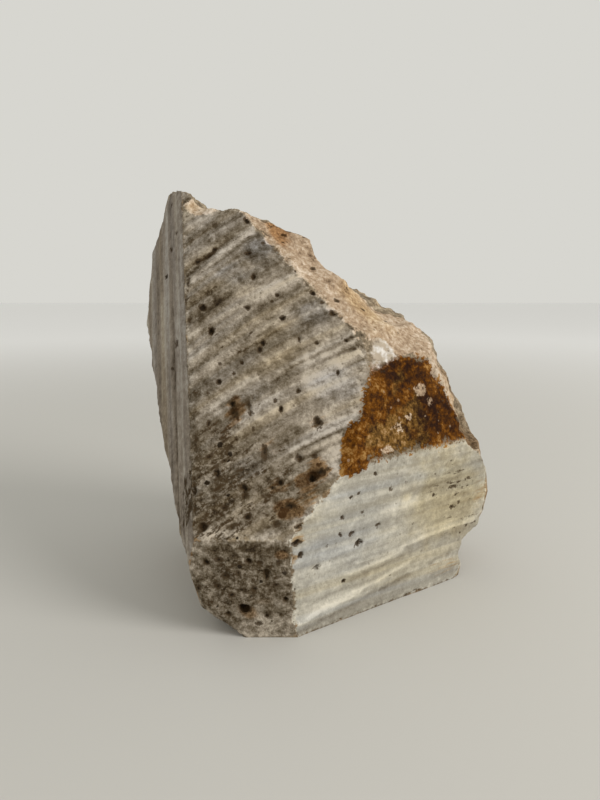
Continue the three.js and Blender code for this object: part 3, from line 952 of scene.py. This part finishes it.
class StoneNodes(Nodes):
    """Nodes with the patterns and the tones that all of the stone shares."""

    def __init__(self, tree):
        super().__init__(tree)
        self.place = self.add("ShaderNodeTexCoord").outputs["Object"]
        self.along = self.read("streaks", "Vector")
        self.patchy = self.noise(self.place, 32, 4)
        self.mottle = self.noise(self.place, 170, 5, 0.65)
        self.crumbs = self.noise(self.place, 420, 4, 0.7)
        self.grain = self.noise(self.place, 1100, 2, 0.7)
        self.smears = self.noise(self.stretched(self.along, (4, 1.2, 1)), 1, 4, 0.65)
        self.ragged = self.plus(self.around(self.mottle, 12), self.around(self.crumbs, 5))
        base = self.plus(self.read("tone"), self.around(self.patchy, 0.42))
        self.tone = self.sawn_tone(base)
        self.loose = self.broken_tone(base)

    def around(self, value, share):
        """Noise about zero, times a share."""
        return self.times(self.minus(value, 0.5), share)

    def sawn_tone(self, base):
        """How pale sawn and weathered stone is: lines along the cuts, with grains on them, and painted
        shade in the hollows.
        """
        streaks = self.noise(self.along, 1, 3, 0.6)
        bands = self.noise(self.stretched(self.along, (0.5, 0.42, 1)), 1, 2, 0.5)
        lines = self.plus(self.around(streaks, 0.34), self.around(bands, 0.9))
        lines = self.times(lines, self.fit(self.read("right"), -1.0, 1.0, 1.0, 0.75))
        lines = self.times(lines, self.fit(self.read("left"), -1.0, 1.0, 1.0, 1.45))
        rough = self.plus(self.around(self.mottle, 1.2), self.around(self.crumbs, 0.75))
        rough = self.plus(rough, self.around(self.grain, 0.4))
        tone = self.plus(base, lines, self.times(rough, self.read("grain")))
        worn = self.times(self.read("edge"), self.fit(self.mottle, 0.45, 0.7, 0.0, 0.22))
        # Painted shade: the stone is darkened where the mesh lies below its neighbours.
        shadow = self.fit(self.read("hollow"), 0.05, 0.9, 0.0, 0.35)
        return self.minus(self.plus(tone, worn), shadow)

    def broken_tone(self, base):
        """How pale broken stone is: loose grains, with painted light on the bumps and painted shade in
        the hollows.
        """
        grains = self.plus(self.around(self.crumbs, 1.2), self.around(self.grain, 0.6))
        loose = self.plus(base, self.around(self.mottle, 1.3), grains)
        # Painted shade in the hollows and painted light on the bumps, from how far the mesh lies below
        # its neighbours.
        return self.minus(loose, self.fit(self.read("hollow"), -0.5, 0.9, -0.1, 0.17))

    def region(self, name, below, above, spread=1.0, width=0.5):
        """Lays a finish over a region of the block, up to its ragged edge."""
        inside = self.plus(self.read(name), self.times(self.ragged, spread))
        return self.mix(self.fit(inside, -width, width), below, above)

    def strewn(self, pattern, name, ragged_by, low, high):
        """Ragged spots that thicken where an attribute is strong, and vanish where it is 0."""
        thick = self.plus(self.read(name), self.around(pattern, ragged_by))
        return self.times(self.fit(thick, low, high), self.fit(self.read(name), 0.02, 0.15))


def shades(colours, finish, steps="groove stone dust"):
    """The colours of a finish, from its grooves up."""
    return [getattr(colours, f"{finish}_{step}") for step in steps.split()]


def iron_crust(nodes, colours):
    """Orange-brown crust, drab where it is thin, with crumbs of bare stone."""
    lumps = nodes.plus(nodes.around(nodes.patchy, 0.9), nodes.around(nodes.mottle, 0.9))
    tone = nodes.plus(nodes.loose, lumps)
    steps = "shade crust dust"
    thick = nodes.ramp(tone, colours.rust_groove, *shades(colours, "rust", steps))
    thin = nodes.ramp(tone, colours.rust_groove, *shades(colours, "drab", steps))
    wear = nodes.plus(nodes.noise(nodes.place, 75, 4, 0.6), nodes.around(nodes.read("drab"), 0.3))
    crust = nodes.mix(nodes.fit(wear, 0.46, 0.66), thick, thin)
    bare = nodes.times(nodes.flecks(nodes.place, 190, 0.3, 0.24), 0.45)
    return nodes.mix(bare, crust, colours.shoulder_stone)


def lay_finishes(nodes, colours):
    """Old broken stone, and over it the finish of each face up to its ragged edge."""
    weathered = shades(colours, "front", "groove shade stone dust cream")
    weathered = nodes.ramp(nodes.tone, *weathered)
    left = nodes.ramp(nodes.tone, *shades(colours, "left"))
    right = nodes.ramp(nodes.tone, *shades(colours, "right"))
    fresh = nodes.ramp(nodes.loose, *shades(colours, "shoulder"))
    dust = nodes.mix(nodes.fit(nodes.mottle, 0.44, 0.66), colours.bruise_stone, colours.bruise)
    stone = nodes.ramp(nodes.loose, *shades(colours, "broken"))
    stained = nodes.fit(nodes.patchy, 0.5, 0.68, 0.0, 0.8)
    stone = nodes.mix(stained, stone, colours.stain, "MULTIPLY")
    for name, finish, spread in (
        ("left", left, 0.5),
        ("front", weathered, 0.8),
        ("foot", weathered, 0.5),
        ("right", right, 0.8),
        ("shoulder", fresh, 1.2),
        ("rust", iron_crust(nodes, colours), 1.2),
    ):
        stone = nodes.region(name, stone, finish, spread)
    return nodes.region("bruise", stone, dust, 0.7, 1.4)


def lay_chips(nodes, stone, colours):
    """The pale lip beside the crust, and the chips of fresh stone."""
    inside = nodes.plus(nodes.read("rust"), nodes.times(nodes.ragged, 1.2))
    outside = nodes.minus(1.0, nodes.fit(inside, -1.0, 0.5))
    lip = nodes.times(nodes.fit(inside, -5.0, -2.5), outside)
    crumbly = nodes.times(nodes.read("lip"), nodes.fit(nodes.mottle, 0.35, 0.55, 0.3, 1.0))
    lip = nodes.times(lip, crumbly)
    stone = nodes.mix(nodes.times(lip, 0.6), stone, colours.front_cream)
    chips = nodes.strewn(nodes.crumbs, "chip", 2.4, 0.45, 0.8)
    return nodes.mix(chips, stone, nodes.ramp(nodes.loose, *shades(colours, "shoulder")))


def lay_veins(nodes, stone, colours):
    """Yellowish and bluish veins along the cuts, and patches of both tints."""
    vein = nodes.noise(nodes.stretched(nodes.along, (0.4, 0.33, 1.7)), 1, 2, 0.5)
    for share, tint in (
        (nodes.fit(vein, 0.5, 0.68, 0.0, 0.45), colours.ochre),
        (nodes.fit(vein, 0.5, 0.32, 0.0, 0.4), colours.slate),
        (nodes.read("slate"), colours.slate),
        (nodes.read("ochre"), colours.ochre),
    ):
        stone = nodes.mix(share, stone, tint, "MULTIPLY")
    return stone


def lay_soil(nodes, stone, colours):
    """Smeared clods of brown earth, with pale crumbs that stand out of them."""
    clods = nodes.noise(nodes.place, 190, 5, 0.65)
    clods = nodes.plus(nodes.times(clods, 0.5), nodes.times(nodes.smears, 0.6))
    earth = nodes.mix(nodes.fit(nodes.crumbs, 0.35, 0.65), colours.earth, colours.front_shade)
    stone = nodes.mix(nodes.strewn(clods, "soil", 7, 1.1, 1.6), stone, earth)
    soiled = nodes.fit(nodes.read("soil"), 0.2, 0.8, 0.0, 0.5)
    crumbs = nodes.times(nodes.fit(nodes.crumbs, 0.54, 0.62), soiled)
    return nodes.mix(crumbs, stone, colours.front_dust)


def lay_stains(nodes, stone, colours):
    """Dark iron stains, each in a soft orange halo."""
    halo = nodes.strewn(nodes.smears, "iron", 2.6, 0.35, 1.0)
    stone = nodes.mix(halo, stone, colours.stain, "MULTIPLY")
    return nodes.mix(nodes.strewn(nodes.mottle, "iron", 3.5, 0.95, 1.4), stone, colours.iron)


def lay_pits(nodes, stone, colours):
    """Pits with earth round them and painted shade in their middles, and the grit and specks between
    them; the grit is painted shade of tiny pits.
    """
    ragged = nodes.plus(nodes.around(nodes.crumbs, 2.2), nodes.around(nodes.mottle, 0.9))
    pit = nodes.plus(nodes.read("pit"), ragged)
    stone = nodes.mix(nodes.fit(pit, 0.1, 0.4, 0.0, 0.85), stone, colours.earth)
    # Painted shade in the middle of each pit and spot.
    stone = nodes.mix(nodes.fit(pit, 0.6, 0.95), stone, colours.pit)
    # The grit: dark flecks in the soil, painted as the shade of tiny pits.
    grit = nodes.flecks(nodes.place, 140, 0.45, 0.34)
    grit = nodes.times(grit, nodes.fit(nodes.read("soil"), 0.4, 0.8))
    stone = nodes.mix(grit, stone, colours.pit)
    specks = nodes.flecks(nodes.place, 210, 0.3, 0.22)
    specks = nodes.times(specks, nodes.times(nodes.read("grain"), 0.6))
    return nodes.mix(specks, stone, colours.front_shade)


def blank_material(name):
    """A new material with an empty node tree."""
    material = bpy.data.materials.new(name)
    material.use_nodes = True
    material.node_tree.nodes.clear()
    return material


def stone_material(colours):
    """One material for the whole block: every mark comes from the mesh or from noise."""
    material = blank_material("weathered soapstone")
    nodes = StoneNodes(material.node_tree)
    stone = lay_finishes(nodes, colours)
    for lay in (lay_chips, lay_veins, lay_soil, lay_stains, lay_pits):
        stone = lay(nodes, stone, colours)
    fine = nodes.bump(nodes.grain, 0.3 * MM, 0.5)
    height = nodes.plus(nodes.times(nodes.tone, 0.5), nodes.crumbs)
    normal = nodes.bump(height, 0.7 * MM, 0.6, Normal=fine)
    dull = nodes.fit(nodes.mottle, 0.2, 0.8, 0.75, 0.95)
    nodes.surface(Base_Color=stone, Roughness=dull, Normal=normal, Specular_IOR_Level=0.1)
    return material


def floor_material(settings):
    """Matt paint that fades into the backdrop with distance."""
    material = blank_material("pale floor")
    nodes = Nodes(material.node_tree)
    place = nodes.add("ShaderNodeTexCoord").outputs["Object"]
    far = nodes.add("ShaderNodeVectorMath", settings={"operation": "LENGTH"}, Vector=place)
    paint = nodes.mix(nodes.fit(far.outputs["Value"], 0.3, 3.0), settings.floor, settings.far_floor)
    nodes.surface(Base_Color=paint, Roughness=0.9)
    return material


# ------------------------------------------------------------------ operators

# The stage's sizes and places, in metres, and the tint of the lamp.
FLOOR_SIZE = 30
LAMP_PLACE = (2.0, -1.15, 1.15)
LAMP_TARGET = (0, 0, 0.13)
LAMP_WIDTH = 1.3
LAMP_TINT = (1.0, 0.975, 0.94)
# The camera stands this many millimetres from the layout point. It is turned up this many
# degrees from straight down.
CAMERA_PLACE = (0, -457, 224)
CAMERA_TILT = 80


class SOAPSTONE_OT_block(bpy.types.Operator):
    """Models and finishes the carving block over its solid"""

    bl_idname = "soapstone.block"
    bl_label = "Make the block"

    def execute(self, context):
        settings = context.scene.soapstone
        block = copied_node("carving_block")
        apply_modifier(block, "REMESH", mode="VOXEL", voxel_size=settings.sizes.skin)
        roughen(block, settings.sizes)
        carve(block, settings.sizes)
        thin(block, settings.sizes)
        mark(block)
        block.vertex_groups.clear()
        select_only(block)
        bpy.ops.object.shade_smooth()
        block.data.materials.append(stone_material(settings.colours))
        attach(block, "root")
        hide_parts(NODE)
        return {"FINISHED"}


class SOAPSTONE_OT_stage(bpy.types.Operator):
    """Adds the pale floor, the soft light and the camera"""

    bl_idname = "soapstone.stage"
    bl_label = "Set the stage"

    def execute(self, context):
        settings = context.scene.soapstone.stage
        bpy.ops.object.select_all(action="DESELECT")
        bpy.ops.mesh.primitive_plane_add(size=FLOOR_SIZE, location=(0, 0, 0))
        floor = context.object
        floor.name = "studio_floor"
        floor.data.materials.append(floor_material(settings))
        light_world(settings)
        bpy.ops.object.light_add(type="AREA", location=LAMP_PLACE)
        lamp = context.object
        lamp.name = "main_lamp"
        lamp.data.shape = "DISK"
        lamp.data.size = LAMP_WIDTH
        lamp.data.energy = settings.main_power
        lamp.data.color = LAMP_TINT
        aim(lamp, LAMP_TARGET)
        place = (Vector(LAYOUT_POINT) + Vector(CAMERA_PLACE)) * MM
        bpy.ops.object.camera_add(location=place, rotation=(radians(CAMERA_TILT), 0, 0))
        camera = context.object
        camera.name = "studio_camera"
        camera.data.sensor_width = 36
        camera.data.lens = settings.lens
        camera.data.clip_start = 0.01
        camera.data.clip_end = 100
        context.scene.camera = camera
        context.scene.view_settings.view_transform = "Standard"
        return {"FINISHED"}


def aim(lamp, target):
    """Turns a lamp so that it shines at a place."""
    direction = Vector(target) - lamp.location
    lamp.rotation_euler = direction.to_track_quat("-Z", "Y").to_euler()


def light_world(settings):
    """Pale light from all around."""
    world = bpy.data.worlds.new("studio")
    world.use_nodes = True
    background = world.node_tree.nodes["Background"]
    background.inputs["Color"].default_value = (*settings.world, 1)
    bpy.context.scene.world = world


class SoapstoneSettings(bpy.types.PropertyGroup):
    """All that a user would change."""

    sizes: PointerProperty(type=BlockSizes)
    colours: PointerProperty(type=BlockColours)
    stage: PointerProperty(type=StageSettings)


class SOAPSTONE_PT_panel(bpy.types.Panel):
    """Lists the block's steps, sizes and colours"""

    bl_idname = "SOAPSTONE_PT_panel"
    bl_label = "Soapstone block"
    bl_space_type = "VIEW_3D"
    bl_region_type = "UI"
    bl_category = "Soapstone"

    def draw(self, context):
        settings = context.scene.soapstone
        for operator in STEPS:
            self.layout.operator(operator.bl_idname)
        for group in (settings.sizes, settings.colours, settings.stage):
            column = self.layout.column()
            for name in group.__annotations__:
                column.prop(group, name)


STEPS = (SOAPSTONE_OT_block, SOAPSTONE_OT_stage)
CLASSES = (BlockSizes, BlockColours, StageSettings, SoapstoneSettings, *STEPS, SOAPSTONE_PT_panel)


def register():
    """Adds the add-on's classes and settings."""
    for item in CLASSES:
        bpy.utils.register_class(item)
    bpy.types.Scene.soapstone = PointerProperty(type=SoapstoneSettings)


def unregister():
    """Takes them away again."""
    del bpy.types.Scene.soapstone
    for item in reversed(CLASSES):
        bpy.utils.unregister_class(item)


def main():
    """Builds everything."""
    register()
    bpy.ops.soapstone.block()
    bpy.ops.soapstone.stage()


if __name__ == "__main__":
    main()
